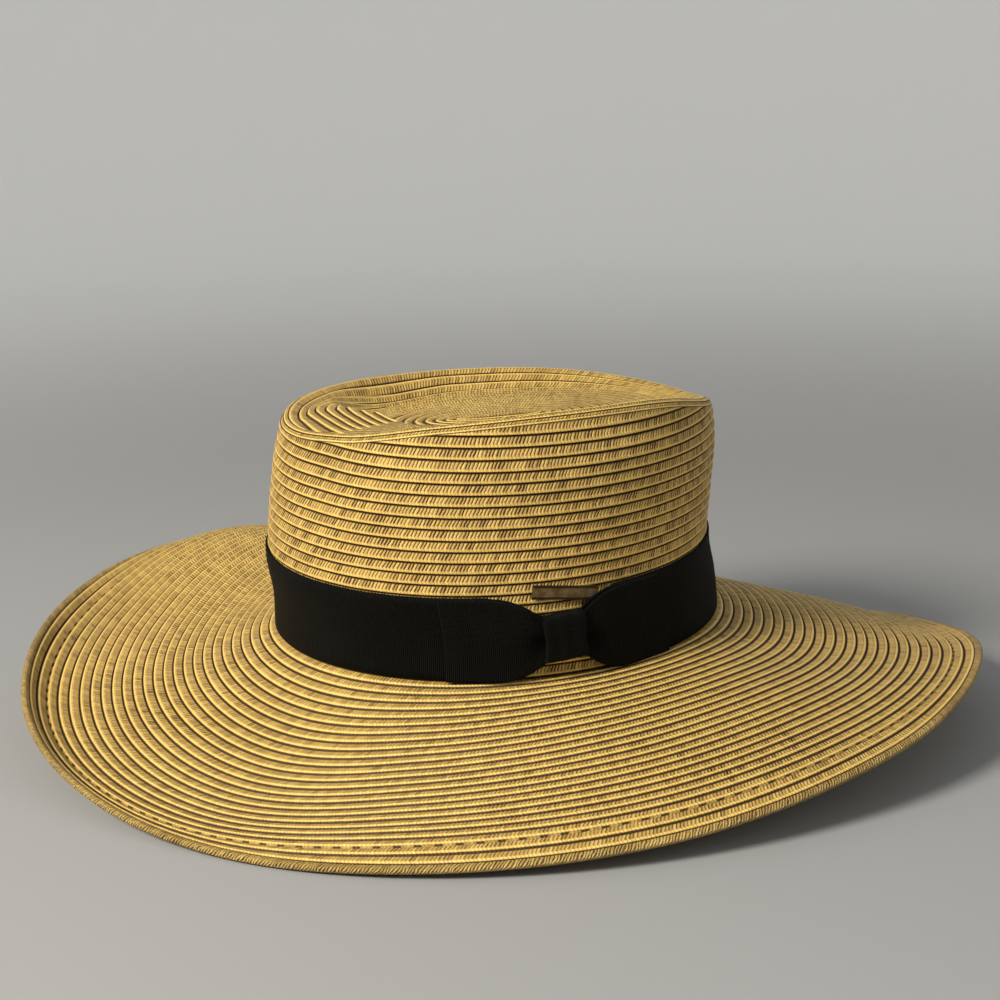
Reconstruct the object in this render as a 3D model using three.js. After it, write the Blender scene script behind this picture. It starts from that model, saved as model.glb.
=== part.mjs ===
// A wide-brimmed straw hat: a dented crown and a saddle-shaped brim of sewn straw braid,
// a doubled braid round the brim's edge, and a ribbon band closed with a flat bow and a metal tab.
// Millimetres, +Z up. The front of the hat is towards -X and the bow is towards -Y.

import * as THREE from "three";

// Straw
const headLength = 202; // head opening, front to back
const headWidth = 160; // head opening, side to side
const strawWall = 2; // thickness of the sewn braid
const crownHeight = 114; // base of the crown to the highest point of its ridge
const ridgeFold = 3; // radius of the fold between the crown's wall and its tip
const plateHeight = 92; // base of the crown to the sunken plate in the tip
const coreLength = 32; // straight start of the braid in the middle of the tip
const pinchDepth = 1.6; // shallow dent down the front corner of the wall
const brimWidth = 118; // crown wall to the edge braid, along the straw
const edgeWidth = 5; // doubled braid round the brim's edge
const edgeThick = 4.4;
const edgeRound = 1.2;

// Ribbon, bow and tab
const ribbonWidth = 38;
const ribbonThick = 1;
const loopLength = 44; // each bow loop, from the knot to its outer fold
const loopDepth = 4.6; // outside depth of a bow loop
const pleatDepth = 1.5; // gather beside the knot
const knotLength = 19; // along the band
const knotHeight = 20;
const knotDepth = 6.8;
const knotRound = 2.4;
const knotLevel = 19.5; // base of the crown to the middle of the knot
const tabLength = 29;
const tabHeight = 6;
const tabThick = 1;
const tabLevel = 38; // base of the crown to the middle of the tab
const tabBar = 0.9; // raised bars along the tab's long edges

// Clearances
const joint = 0.3; // between pieces that touch
const ribbonFit = 0.5; // between the ribbon and the straw

// Angles in degrees. Round the crown, 0 is the front, 90 the bow and 180 the back.
const bowAngle = 90;
const knotLean = 10; // the knot's top leans to the front
const tabLean = 7; // the tab's front end is the higher one
const plateTilt = 5; // the sunken plate falls away from the bow's side
const pinchAngle = 26;
const pinchSpread = 9;
const restPitch = -0.976; // turns that set the brim down on a floor
const restRoll = 6.18;

// The hat's form round the crown. ridge: height of the fold, a share of crownHeight. plate and
// rise: where the sunken plate ends and where the tip reaches the ridge's height, as shares of
// the way out to the ridge. inner, middle, outer: slope of the brim below level at the crown,
// halfway and at the edge. curl: extra slope of the last rows of braid.
const form = [
  { at: 0, ridge: 0.855, plate: 0.36, rise: 0.46, inner: 28, middle: 18.5, outer: -10.7, curl: -36 },
  { at: 30, ridge: 0.89, plate: 0.44, rise: 0.56, inner: 36.6, middle: 17.8, outer: -16, curl: -4 },
  { at: 60, ridge: 0.965, plate: 0.66, rise: 0.9, inner: 17.2, middle: 9.8, outer: -2.3, curl: 20.7 },
  { at: 90, ridge: 1, plate: 0.78, rise: 1, inner: 0, middle: 7.2, outer: 4.4, curl: 20.3 },
  { at: 120, ridge: 0.985, plate: 0.78, rise: 1, inner: -2.4, middle: 3.4, outer: 0.8, curl: 13 },
  { at: 150, ridge: 0.9, plate: 0.78, rise: 1, inner: 14.6, middle: 3.7, outer: -6, curl: -10 },
  { at: 180, ridge: 0.825, plate: 0.78, rise: 1, inner: 14.8, middle: 16.6, outer: 24.1, curl: -18 },
  { at: 210, ridge: 0.815, plate: 0.78, rise: 1, inner: 30, middle: 28, outer: 30, curl: 6 },
  { at: 240, ridge: 0.825, plate: 0.78, rise: 1, inner: 9, middle: 20.4, outer: 28, curl: 8 },
  { at: 270, ridge: 0.83, plate: 0.78, rise: 1, inner: 6.2, middle: 18, outer: 26, curl: 9 },
  { at: 300, ridge: 0.845, plate: 0.74, rise: 1, inner: 2.7, middle: 1.9, outer: 17.8, curl: 15 },
  { at: 330, ridge: 0.855, plate: 0.6, rise: 0.82, inner: 22.3, middle: 9.4, outer: -2.4, curl: -27 },
];

// Sections of the crown's wall. level: height, a share of the ridge's. length and width: half
// sizes, as shares of those at the base. lean: shift to the front, a share of headLength.
const wallSections = [
  { level: 0, length: 1, width: 1, lean: 0 },
  { level: 0.17, length: 0.99, width: 1.01, lean: 0.006 },
  { level: 0.35, length: 0.985, width: 1.02, lean: 0.022 },
  { level: 0.6, length: 0.983, width: 1.025, lean: 0.016 },
  { level: 0.82, length: 0.976, width: 1.012, lean: 0.006 },
  { level: 1, length: 0.952, width: 0.958, lean: 0.001 },
];

// Shares of the way up the wall, in across the tip and out across the brim
const wallLevels = [0, 0.17, 0.35, 0.6, 0.82, 0.93];
const tipShares = [1, 0.9, 0.8, 0.7, 0.6, 0.5, 0.41, 0.32, 0.16];
const brimShares = [1, 0.94, 0.88, 0.8, 0.68, 0.54, 0.4, 0.26, 0.12, 0];
const curlStart = 0.86; // the share of the brim where the last rows begin to curl

const rad = THREE.MathUtils.degToRad;
const deg = THREE.MathUtils.radToDeg;
const lerp = THREE.MathUtils.lerp;
const smooth = THREE.MathUtils.smoothstep;

// The smooth curve between b and c of four values in a row
function ease(a, b, c, d, t) {
  return b + 0.5 * t * (c - a + t * (2 * a - 5 * b + 4 * c - d + t * (3 * (b - c) + d - a)));
}

function formAt(column, angle) {
  const turn = ((angle / 360) % 1 + 1) % 1 * form.length;
  const i = Math.floor(turn);
  const value = (k) => form[(i + k + form.length) % form.length][column];
  return ease(value(-1), value(0), value(1), value(2), turn - i);
}

function wallAt(column, level) {
  const last = wallSections.length - 1;
  let i = 0;
  while (i < last - 1 && wallSections[i + 1].level < level) i += 1;
  const row = (k) => wallSections[Math.min(Math.max(i + k, 0), last)];
  const t = (level - row(0).level) / (row(1).level - row(0).level);
  return ease(row(-1)[column], row(0)[column], row(1)[column], row(2)[column], t);
}

// A closed mesh from points and faces, turned so that its faces point out
function closedMesh(points, faces) {
  const cross = new THREE.Vector3();
  let volume = 0;
  for (const [a, b, c] of faces) {
    volume += points[a].dot(cross.crossVectors(points[b], points[c]));
  }
  const turned = volume > 0 ? faces : faces.map(([a, b, c]) => [a, c, b]);
  const geometry = new THREE.BufferGeometry().setFromPoints(points);
  geometry.setIndex(turned.flat());
  geometry.computeVertexNormals();
  return geometry;
}

// A sheet of even thickness under a grid of points, grid[i][j]. It is closed round in i where
// round is true, and past its last j where a centre is given.
function sheet(grid, thickness, { round = false, centre = null } = {}) {
  const [m, n] = [grid.length, grid[0].length];
  const at = (i, j) => (round ? grid[(i + m) % m][j] : grid[i][j]);
  const under = grid.map((row, i) =>
    row.map((p, j) => {
      const [i0, i1] = round ? [i - 1, i + 1] : [Math.max(i - 1, 0), Math.min(i + 1, m - 1)];
      const [j0, j1] = [Math.max(j - 1, 0), Math.min(j + 1, n - 1)];
      const normal = at(i1, j).clone().sub(at(i0, j)).cross(at(i, j1).clone().sub(at(i, j0)));
      return p.clone().addScaledVector(normal.normalize(), -thickness);
    }),
  );
  const points = [...grid.flat(), ...under.flat()];
  const top = (i, j) => (i % m) * n + j;
  const low = (i, j) => m * n + top(i, j);
  const faces = [];
  const quad = (a, b, c, d) => faces.push([a, b, c], [a, c, d]);
  for (let i = 0; i < (round ? m : m - 1); i += 1) {
    for (let j = 0; j < n - 1; j += 1) {
      quad(top(i, j), top(i + 1, j), top(i + 1, j + 1), top(i, j + 1));
      quad(low(i, j), low(i, j + 1), low(i + 1, j + 1), low(i + 1, j));
    }
    quad(top(i, 0), low(i, 0), low(i + 1, 0), top(i + 1, 0));
    if (!centre) quad(top(i, n - 1), top(i + 1, n - 1), low(i + 1, n - 1), low(i, n - 1));
  }
  if (!round) {
    for (let j = 0; j < n - 1; j += 1) {
      quad(top(0, j), top(0, j + 1), low(0, j + 1), low(0, j));
      quad(top(m - 1, j), low(m - 1, j), low(m - 1, j + 1), top(m - 1, j + 1));
    }
  }
  if (centre) {
    const pole = points.push(centre, centre.clone().setZ(centre.z - thickness)) - 2;
    for (let i = 0; i < m; i += 1) {
      faces.push([top(i, n - 1), top(i + 1, n - 1), pole]);
      faces.push([low(i + 1, n - 1), low(i, n - 1), pole + 1]);
    }
  }
  return closedMesh(points, faces);
}

const around = [...Array(48).keys()].map((i) => i * 7.5);
const halfLength = headLength / 2 + strawWall;
const halfWidth = headWidth / 2 + strawWall;

// Level direction away from the crown's wall
function outward(angle) {
  const a = rad(angle);
  return new THREE.Vector3(-Math.cos(a) / halfLength, -Math.sin(a) / halfWidth, 0).normalize();
}

function wallPoint(angle, level) {
  const away = (((angle - pinchAngle + 540) % 360) - 180) / pinchSpread;
  const dent = pinchDepth * Math.exp(-away * away) * smooth(level, 0.4, 1);
  const a = rad(angle);
  const x = -halfLength * wallAt("length", level) * Math.cos(a) - headLength * wallAt("lean", level);
  const y = -halfWidth * wallAt("width", level) * Math.sin(a);
  const z = level * crownHeight * formAt("ridge", angle);
  return new THREE.Vector3(x, y, z).addScaledVector(outward(angle), -dent);
}

// The wall at a height above the crown's base
function wallOver(angle, height, clear) {
  const point = wallPoint(angle, height / (crownHeight * formAt("ridge", angle)));
  return point.addScaledVector(outward(angle), clear);
}

// A point of the tip: 1 is on the ridge and 0 on the straight core of the braid.
function tipPoint(angle, share) {
  const ridge = wallPoint(angle, 1).addScaledVector(outward(angle), -ridgeFold);
  const x = lerp((-coreLength / 2) * Math.cos(rad(angle)), ridge.x, share);
  const y = lerp(0, ridge.y, share);
  const plate = plateHeight - y * Math.tan(rad(plateTilt));
  const up = smooth(share, formAt("plate", angle), formAt("rise", angle));
  return new THREE.Vector3(x, y, lerp(plate, ridge.z, up));
}

function makeCrown() {
  const grid = around.map((angle) => [
    ...wallLevels.map((level) => wallPoint(angle, level)),
    wallPoint(angle, 1).add(new THREE.Vector3(0, 0, -ridgeFold)),
    ...tipShares.map((share) => tipPoint(angle, share)),
  ]);
  return sheet(grid, strawWall, { round: true, centre: new THREE.Vector3(0, 0, plateHeight) });
}

// Slope of the brim below level, at a share of its width
function brimSlope(angle, share) {
  const [inner, middle, outer] = ["inner", "middle", "outer"].map((c) => formAt(c, angle));
  const bend = 2 * (inner + outer - 2 * middle);
  const curl = formAt("curl", angle) * Math.max(0, (share - curlStart) / (1 - curlStart));
  return inner + share * (outer - inner - bend + bend * share) + curl;
}

// The brim's upper face, at a distance out from the crown's wall
function brimPoint(angle, distance) {
  const steps = 50;
  const step = distance / steps;
  let [out, z] = [0, -joint];
  for (let i = 0.5; i < steps; i += 1) {
    const slope = rad(brimSlope(angle, (i * step) / brimWidth));
    out += step * Math.cos(slope);
    z -= step * Math.sin(slope);
  }
  return wallPoint(angle, 0).setZ(z).addScaledVector(outward(angle), out);
}

function makeBrim() {
  const grid = around.map((angle) => [
    ...brimShares.map((share) => brimPoint(angle, share * brimWidth)),
    wallPoint(angle, 0).setZ(-joint).addScaledVector(outward(angle), -strawWall),
  ]);
  return sheet(grid, strawWall, { round: true });
}

// The doubled braid: a ring with a rounded section, level with the middle of the brim's straw
function makeEdge() {
  const [w, h, r] = [edgeWidth / 2, edgeThick / 2, edgeRound];
  const section = [
    [w - r, h], [w, h - r], [w, r - h], [w - r, -h], [r - w, -h], [-w, r - h], [-w, h - r], [r - w, h],
  ];
  const points = [];
  const faces = [];
  const n = section.length;
  around.forEach((angle, i) => {
    const slope = rad(brimSlope(angle, 1));
    const along = outward(angle).multiplyScalar(Math.cos(slope)).setZ(-Math.sin(slope));
    const up = outward(angle).multiplyScalar(Math.sin(slope)).setZ(Math.cos(slope));
    const middle = brimPoint(angle, brimWidth).addScaledVector(up, -strawWall / 2);
    middle.addScaledVector(along, joint + w);
    for (const [x, y] of section) {
      points.push(middle.clone().addScaledVector(along, x).addScaledVector(up, y));
    }
    const next = ((i + 1) % around.length) * n;
    for (let j = 0; j < n; j += 1) {
      const [a, b] = [i * n + j, i * n + ((j + 1) % n)];
      const [c, d] = [next + j, next + ((j + 1) % n)];
      faces.push([a, c, d], [a, d, b]);
    }
  });
  return closedMesh(points, faces);
}

// The ribbon narrows under the bow. gather is 0 at the knot and 1 where it is flat.
const ribbonMiddle = joint + ribbonWidth / 2;
const gatherHeight = knotHeight - 2;

function gather(distance) {
  return smooth(Math.abs(distance), knotLength / 3, knotLength / 2 + loopLength / 2);
}

function ribbonLevel(distance, across) {
  const g = gather(distance);
  const half = lerp(gatherHeight, ribbonWidth, g) / 2;
  return lerp(knotLevel, ribbonMiddle, g) + across * half;
}

function makeRibbon() {
  const grid = around.map((angle) => {
    const distance = rad(angle - bowAngle) * halfLength;
    return [-1, -0.33, 0.33, 1].map((across) =>
      wallOver(angle, ribbonLevel(distance, across), ribbonFit + ribbonThick),
    );
  });
  return sheet(grid, ribbonThick, { round: true });
}

// The angle round the crown at a distance along the wall from the middle of the bow
function angleAt(distance) {
  const steps = 20;
  let angle = bowAngle;
  for (let i = 0; i < steps; i += 1) {
    const a = rad(angle);
    const speed = Math.hypot(halfLength * Math.sin(a), halfWidth * Math.cos(a));
    angle += deg(distance / steps / speed);
  }
  return angle;
}

// A bow loop: a folded strip of ribbon, open above, below and towards the knot
function makeLoop(side) {
  const start = knotLength / 2 / Math.cos(rad(knotLean)) + joint;
  const back = ribbonFit + ribbonThick + joint + ribbonThick;
  const front = back - ribbonThick + loopDepth;
  const fold = (front - back) / 2;
  const end = start + loopLength - joint - fold;
  const straight = 6;
  const turns = 4;
  const path = [];
  for (let i = 0; i < straight; i += 1) path.push([lerp(start, end, i / straight), back]);
  for (let i = 0; i <= turns; i += 1) {
    const a = Math.PI * (i / turns - 0.5);
    path.push([end + fold * Math.cos(a), (back + front) / 2 + fold * Math.sin(a)]);
  }
  for (let i = straight - 1; i >= 0; i -= 1) path.push([lerp(start, end, i / straight), front]);
  const grid = path.map(([distance, out]) => {
    const isFront = (out - back) / (front - back);
    const loose = 1 - gather(distance);
    return [-1, -0.5, 0, 0.5, 1].map((across) => {
      const pleat = pleatDepth * loose * isFront * (1 - 2 * Math.abs(across));
      const level = ribbonLevel(distance, across);
      const lean = (level - knotLevel) * Math.tan(rad(knotLean));
      const wallLean = wallOver(bowAngle, knotLevel, 0).x - wallOver(bowAngle, level, 0).x;
      const along = side * distance + loose * (wallLean - lean);
      return wallOver(angleAt(along), level, out - pleat);
    });
  });
  return sheet(side > 0 ? grid : grid.reverse(), ribbonThick);
}

// An outline drawn as [out from the wall, up], extruded along the band about the bow's middle
function alongBand(shape, length) {
  const geometry = new THREE.ExtrudeGeometry(shape, {
    depth: length,
    bevelEnabled: false,
    curveSegments: 4,
  });
  geometry.translate(0, 0, -length / 2);
  const axes = new THREE.Matrix4().makeBasis(
    outward(bowAngle),
    new THREE.Vector3(0, 0, 1),
    outward(bowAngle).cross(new THREE.Vector3(0, 0, 1)),
  );
  return geometry.applyMatrix4(axes);
}

// How far the ribbon's face stands out at the bow, over a stretch of height
function wallReach(low, high) {
  const heights = [low, (low + high) / 2, high];
  return Math.max(...heights.map((z) => -wallOver(bowAngle, z, 0).y));
}

function makeKnot() {
  const [d, h, r] = [knotDepth, knotHeight / 2, knotRound];
  const shape = new THREE.Shape();
  shape.moveTo(0, -h);
  shape.lineTo(d - r, -h);
  shape.absarc(d - r, r - h, r, -Math.PI / 2, 0);
  shape.absarc(d - r, h - r, r, 0, Math.PI / 2);
  shape.lineTo(0, h);
  return alongBand(shape, knotLength);
}

function makeTab() {
  const [d, h, bar] = [tabThick, tabHeight / 2, tabBar];
  const outline = [
    [0, -h], [d, -h], [d, bar - h], [d - bar / 3, bar - h],
    [d - bar / 3, h - bar], [d, h - bar], [d, h], [0, h],
  ];
  return alongBand(new THREE.Shape(outline.map(([x, y]) => new THREE.Vector2(x, y))), tabLength);
}

const straw = () => new THREE.MeshStandardMaterial({ color: 0xc39a52, roughness: 0.75 });
const ribbon = () => new THREE.MeshStandardMaterial({ color: 0x14161a, roughness: 0.7 });
const metal = () =>
  new THREE.MeshStandardMaterial({ color: 0x6f5c3c, roughness: 0.45, metalness: 0.9 });

function named(name, geometry, material) {
  const mesh = new THREE.Mesh(geometry, material);
  mesh.name = name;
  return mesh;
}

const hat = new THREE.Group();
hat.add(
  named("crown", makeCrown(), straw()),
  named("brim", makeBrim(), straw()),
  named("brim_edge", makeEdge(), straw()),
  named("ribbon_band", makeRibbon(), ribbon()),
  named("bow_loop_front", makeLoop(-1), ribbon()),
  named("bow_loop_back", makeLoop(1), ribbon()),
);

const knot = named("bow_knot", makeKnot(), ribbon());
const knotReach = wallReach(knotLevel - knotHeight / 2, knotLevel + knotHeight / 2);
knot.position.set(
  wallOver(bowAngle, knotLevel, 0).x,
  -knotReach - ribbonFit - ribbonThick - joint,
  knotLevel,
);
knot.rotation.y = -rad(knotLean);

const tab = named("tab_plate", makeTab(), metal());
tab.position.set(0, -wallReach(tabLevel - tabHeight, tabLevel + tabHeight) - joint, tabLevel);
tab.rotation.y = rad(tabLean);
hat.add(knot, tab);

// Set the hat down on its brim, with its middle over the origin.
hat.rotation.set(rad(restRoll), rad(restPitch), 0);
const part = new THREE.Group();
part.add(hat);
part.updateMatrixWorld(true);
const box = new THREE.Box3().setFromObject(part, true);
const middle = box.getCenter(new THREE.Vector3());
hat.position.set(-middle.x, -middle.y, -box.min.z);

export default part;
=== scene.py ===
import math

import bmesh
import bpy
import numpy as np
from mathutils import Matrix, Vector


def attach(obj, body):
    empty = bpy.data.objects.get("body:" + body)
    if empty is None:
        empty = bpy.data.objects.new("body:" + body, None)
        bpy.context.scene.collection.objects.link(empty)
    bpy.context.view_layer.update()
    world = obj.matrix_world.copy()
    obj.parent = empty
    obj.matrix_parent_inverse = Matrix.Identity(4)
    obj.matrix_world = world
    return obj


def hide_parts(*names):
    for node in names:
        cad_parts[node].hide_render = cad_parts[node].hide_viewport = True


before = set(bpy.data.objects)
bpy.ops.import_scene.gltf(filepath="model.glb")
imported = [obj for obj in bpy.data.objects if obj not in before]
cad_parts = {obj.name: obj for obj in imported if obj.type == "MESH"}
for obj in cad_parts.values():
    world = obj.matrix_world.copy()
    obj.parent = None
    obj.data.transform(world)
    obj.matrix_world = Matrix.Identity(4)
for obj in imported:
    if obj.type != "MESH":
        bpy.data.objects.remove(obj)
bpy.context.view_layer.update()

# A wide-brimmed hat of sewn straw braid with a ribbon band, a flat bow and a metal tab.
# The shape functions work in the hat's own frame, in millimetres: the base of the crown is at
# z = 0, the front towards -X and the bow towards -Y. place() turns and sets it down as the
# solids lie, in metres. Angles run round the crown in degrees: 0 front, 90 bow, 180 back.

# How the hat lies
REST_PITCH, REST_ROLL = -0.976, 6.18
REST_SHIFT = (-2.2019, -0.1353, 48.3035)

# Straw
HEAD_LENGTH, HEAD_WIDTH, WALL = 202, 160, 2
CROWN_HEIGHT, RIDGE_FOLD, PLATE_HEIGHT, PLATE_TILT, CORE_LENGTH = 114, 3, 92, 5, 32
PINCH_DEPTH, PINCH_ANGLE, PINCH_SPREAD = 1.6, 26, 9
BRIM_WIDTH, CURL_START = 118, 0.86
BRIM_SEEN = BRIM_WIDTH + 2  # the braid reaches into the ring of the rim's solid
BRIM_TUCK, WALL_TUCK = 1.2, 1.2  # how far the brim and the wall run past each other
UNDER_LIFT = 0.4  # how much the underside's smooth face is raised to clear the floor
HALF_LENGTH, HALF_WIDTH = HEAD_LENGTH / 2 + WALL, HEAD_WIDTH / 2 + WALL
ROW, TIP_ROWS, BRIM_ROWS, PLATE_ROWS = 4.85, 17, 25, 9
STRAND, STITCH = 1.55, 7.8  # lengths of row that a strand and a stitch near the rim take

# Numbers of the first rows, which tell the parts' rows from each other
WALL_FIRST, BRIM_FIRST, UNDER_FIRST, FOLD_FIRST = TIP_ROWS, 40, 70, 100
STITCHED_ROW = BRIM_FIRST + 23

# The rim, slimmer than its solid: its strands, their turn round it and its section
EDGE_STRAND, EDGE_TWIST = 1.35, -5
EDGE_HALF_WIDTH, EDGE_HALF_HEIGHT = 1.7, 1.5

# Rows at the tip's front: where they bend and how they slant, as shares, how pointed they are
# behind the bend and how far they fall there, and the nearly flat part's height and rise
CREASE, ROW_SLANT = 0.2, 0.127
FAR_POINT, FAR_DROP = 1.7, 2.0
FLAT_HEIGHT, FLAT_RISE = 97.5, (0.43, 0.5)

# Ribbon, bow and tab
RIBBON_WIDTH, RIBBON_THICK, LOOP_LENGTH, LOOP_DEPTH = 38, 1, 44, 4.6
KNOT_LENGTH, KNOT_HEIGHT, KNOT_DEPTH, KNOT_LEVEL, KNOT_LEAN = 19, 20, 6.8, 19.5, 10
TAB_HEIGHT, TAB_LEAN = 6, 7
BOW_ANGLE, JOINT, RIBBON_FIT = 90, 0.3, 0.5
GATHER_HEIGHT, SHOULDER = 19, 22  # a loop's height at the knot, and the way to its full width
LOOP_TUCK = 2.5  # how far a loop runs in under the knot
RIB = 0.85  # pitch of the ribbon's ribs

# The hat's form every 30 degrees: height of the ridge, where the plate ends and the tip's rise
# ends, as shares, then the brim's slope at the crown, halfway and at the edge, and its curl
FORM = np.array([
    (0.855, 0.36, 0.46, 28, 18.5, -10.7, -36),
    (0.89, 0.44, 0.56, 36.6, 17.8, -16, -4),
    (0.965, 0.66, 0.9, 17.2, 9.8, -2.3, 20.7),
    (1, 0.78, 1, 0, 7.2, 4.4, 20.3),
    (0.985, 0.78, 1, -2.4, 3.4, 0.8, 13),
    (0.9, 0.78, 1, 14.6, 3.7, -6, -10),
    (0.825, 0.78, 1, 14.8, 16.6, 24.1, -18),
    (0.815, 0.78, 1, 30, 28, 30, 6),
    (0.825, 0.78, 1, 9, 20.4, 28, 8),
    (0.83, 0.78, 1, 6.2, 18, 26, 9),
    (0.845, 0.74, 1, 2.7, 1.9, 17.8, 15),
    (0.855, 0.6, 0.82, 22.3, 9.4, -2.4, -27),
])

# Sections of the crown's wall: level, length, width, lean, as shares
SECTIONS = np.array([
    (0, 1, 1, 0),
    (0.17, 0.99, 1.01, 0.006),
    (0.35, 0.985, 1.02, 0.022),
    (0.6, 0.983, 1.025, 0.016),
    (0.82, 0.976, 1.012, 0.006),
    (1, 0.952, 0.958, 0.001),
])

# One row of braid, from its inner edge to its outer one: share of the row and relief
ROW_SHARES = (0.0, 0.1, 0.3, 0.52, 0.7, 0.84, 0.95)
WALL_RELIEF = (-0.75, -0.35, -0.1, 0.1, 0.4, 0.5, 0.1)
BRIM_RELIEF = (-0.8, -0.3, -0.05, 0.1, 0.4, 0.5, 0.0)
UNDER_RELIEF = (-0.5, 0.05, 0.2, 0.25, 0.2, 0.05, -0.3)


def smooth(x, low, high):
    t = np.clip((x - low) / (high - low), 0, 1)
    return t * t * (3 - 2 * t)


def ease(a, b, c, d, t):
    return b + 0.5 * t * (c - a + t * (2 * a - 5 * b + 4 * c - d + t * (3 * (b - c) + d - a)))


def form_at(angle):
    """The seven columns of FORM at angles in degrees"""
    turn = (np.asarray(angle, float) / 360 % 1) * len(FORM)
    i = np.floor(turn).astype(int)
    rows = [FORM[(i + k) % len(FORM)] for k in (-1, 0, 1, 2)]
    return np.moveaxis(ease(*rows, (turn - i)[..., None]), -1, 0)


def section_at(level):
    """length, width and lean of the crown's wall at levels"""
    last = len(SECTIONS) - 1
    i = np.clip(np.searchsorted(SECTIONS[:, 0], level, side="right") - 1, 0, last - 1)
    t = (level - SECTIONS[i, 0]) / (SECTIONS[i + 1, 0] - SECTIONS[i, 0])
    rows = [SECTIONS[np.clip(i + k, 0, last), 1:] for k in (-1, 0, 1, 2)]
    return np.moveaxis(ease(*rows, t[..., None]), -1, 0)


def outward(angle):
    """Level direction away from the crown's wall"""
    a = np.radians(angle)
    v = np.stack([-np.cos(a) / HALF_LENGTH, -np.sin(a) / HALF_WIDTH, np.zeros_like(a)], -1)
    return v / np.linalg.norm(v, axis=-1, keepdims=True)


def wall_point(angle, level):
    angle, level = np.broadcast_arrays(np.asarray(angle, float), np.asarray(level, float))
    away = ((angle - PINCH_ANGLE + 540) % 360 - 180) / PINCH_SPREAD
    dent = PINCH_DEPTH * np.exp(-away * away) * smooth(level, 0.4, 1)
    length, width, lean = section_at(level)
    a = np.radians(angle)
    x = -HALF_LENGTH * length * np.cos(a) - HEAD_LENGTH * lean
    y = -HALF_WIDTH * width * np.sin(a)
    z = level * CROWN_HEIGHT * form_at(angle)[0]
    return np.stack([x, y, z], -1) - outward(angle) * dent[..., None]


def wall_over(angle, height, clear):
    angle, height, clear = np.broadcast_arrays(*(np.asarray(v, float) for v in (angle, height, clear)))
    point = wall_point(angle, height / (CROWN_HEIGHT * form_at(angle)[0]))
    return point + outward(angle) * clear[..., None]


def tip_point(angle, share):
    angle, share = np.broadcast_arrays(np.asarray(angle, float), np.asarray(share, float))
    ridge = wall_point(angle, np.ones_like(angle)) - outward(angle) * RIDGE_FOLD
    x = ridge[..., 0] * share - CORE_LENGTH / 2 * np.cos(np.radians(angle)) * (1 - share)
    y = ridge[..., 1] * share
    plate = PLATE_HEIGHT - y * math.tan(math.radians(PLATE_TILT))
    _, plate_end, rise_end = form_at(angle)[:3]
    up = smooth(share, plate_end, rise_end)
    return np.stack([x, y, plate + (ridge[..., 2] - plate) * up], -1)


def row_reach(angle, share):
    """How far out a row of the tip lies at an angle, as a share of the way to the ridge. In front
    the rows run straight from a crease into the ridge on the bow's side, and slant away behind."""
    a = np.radians(angle)
    front, side = np.maximum(np.cos(a), 1e-3), np.sin(a)
    fade = smooth(share, 0.3, 0.5) * (1 - smooth(share, 0.84, 1))
    crease, slant = CREASE * fade, ROW_SLANT * fade
    line = (share - slant * crease) / np.maximum(front + slant * side, 1e-3)
    flank = share / np.maximum(side, 1e-3)
    near = (np.maximum(line, 1e-3) ** -12 + np.maximum(flank, 1e-3) ** -12) ** (-1 / 12)
    near = np.minimum(near, np.maximum(0.9 + 0.1 * (share - 0.5) / 0.5, share))
    low, high = np.zeros_like(share), np.full_like(share, 1.5)
    for _ in range(24):
        middle = (low + high) / 2
        across = np.maximum(-side * middle - crease, 0) / np.maximum(share - crease, 0.05)
        outside = (front * middle / np.maximum(share, 0.05)) ** FAR_POINT + across ** FAR_POINT > 1
        low, high = np.where(outside, low, middle), np.where(outside, middle, high)
    far = share + (low - share) * (1 - smooth(share, 0.8, 1))
    reach = np.where(np.tan(a) * share > -crease, near, far)
    return np.where(np.cos(a) > 0, share + (reach - share) * smooth(share, 0.3, 0.5), share)


def tip_rows(angle, share):
    """A point of the tip's rows"""
    angle, share = np.broadcast_arrays(np.asarray(angle, float), np.asarray(share, float))
    reach = row_reach(angle, share)
    point = tip_point(angle, reach)
    a = np.radians(angle)
    ridge = wall_point(angle, np.ones_like(angle))[..., 2]
    plate = PLATE_HEIGHT - point[..., 1] * math.tan(math.radians(PLATE_TILT))
    flat = plate + (np.minimum(FLAT_HEIGHT, ridge) - plate) * smooth(share, *FLAT_RISE)
    flat = flat + (ridge - flat) * smooth(reach, 0.95, 1)
    bow_side = smooth(np.sin(a), -0.3, 0) * smooth(np.cos(a), 0.2, 0.5)
    point[..., 2] += (flat - point[..., 2]) * bow_side
    far = smooth(-np.sin(a) * reach - CREASE, 0, 0.3) * smooth(np.cos(a), 0, 0.6)
    point[..., 2] -= FAR_DROP * far * smooth(share, 0.4, 0.5) * (1 - smooth(share, 0.86, 1))
    return point


def brim_slope(angle, share):
    inner, middle, outer, curl = form_at(angle)[3:]
    bend = 2 * (inner + outer - 2 * middle)
    extra = curl * np.maximum(0, (share - CURL_START) / (1 - CURL_START))
    return np.radians(inner + share * (outer - inner - bend + bend * share) + extra)


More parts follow.
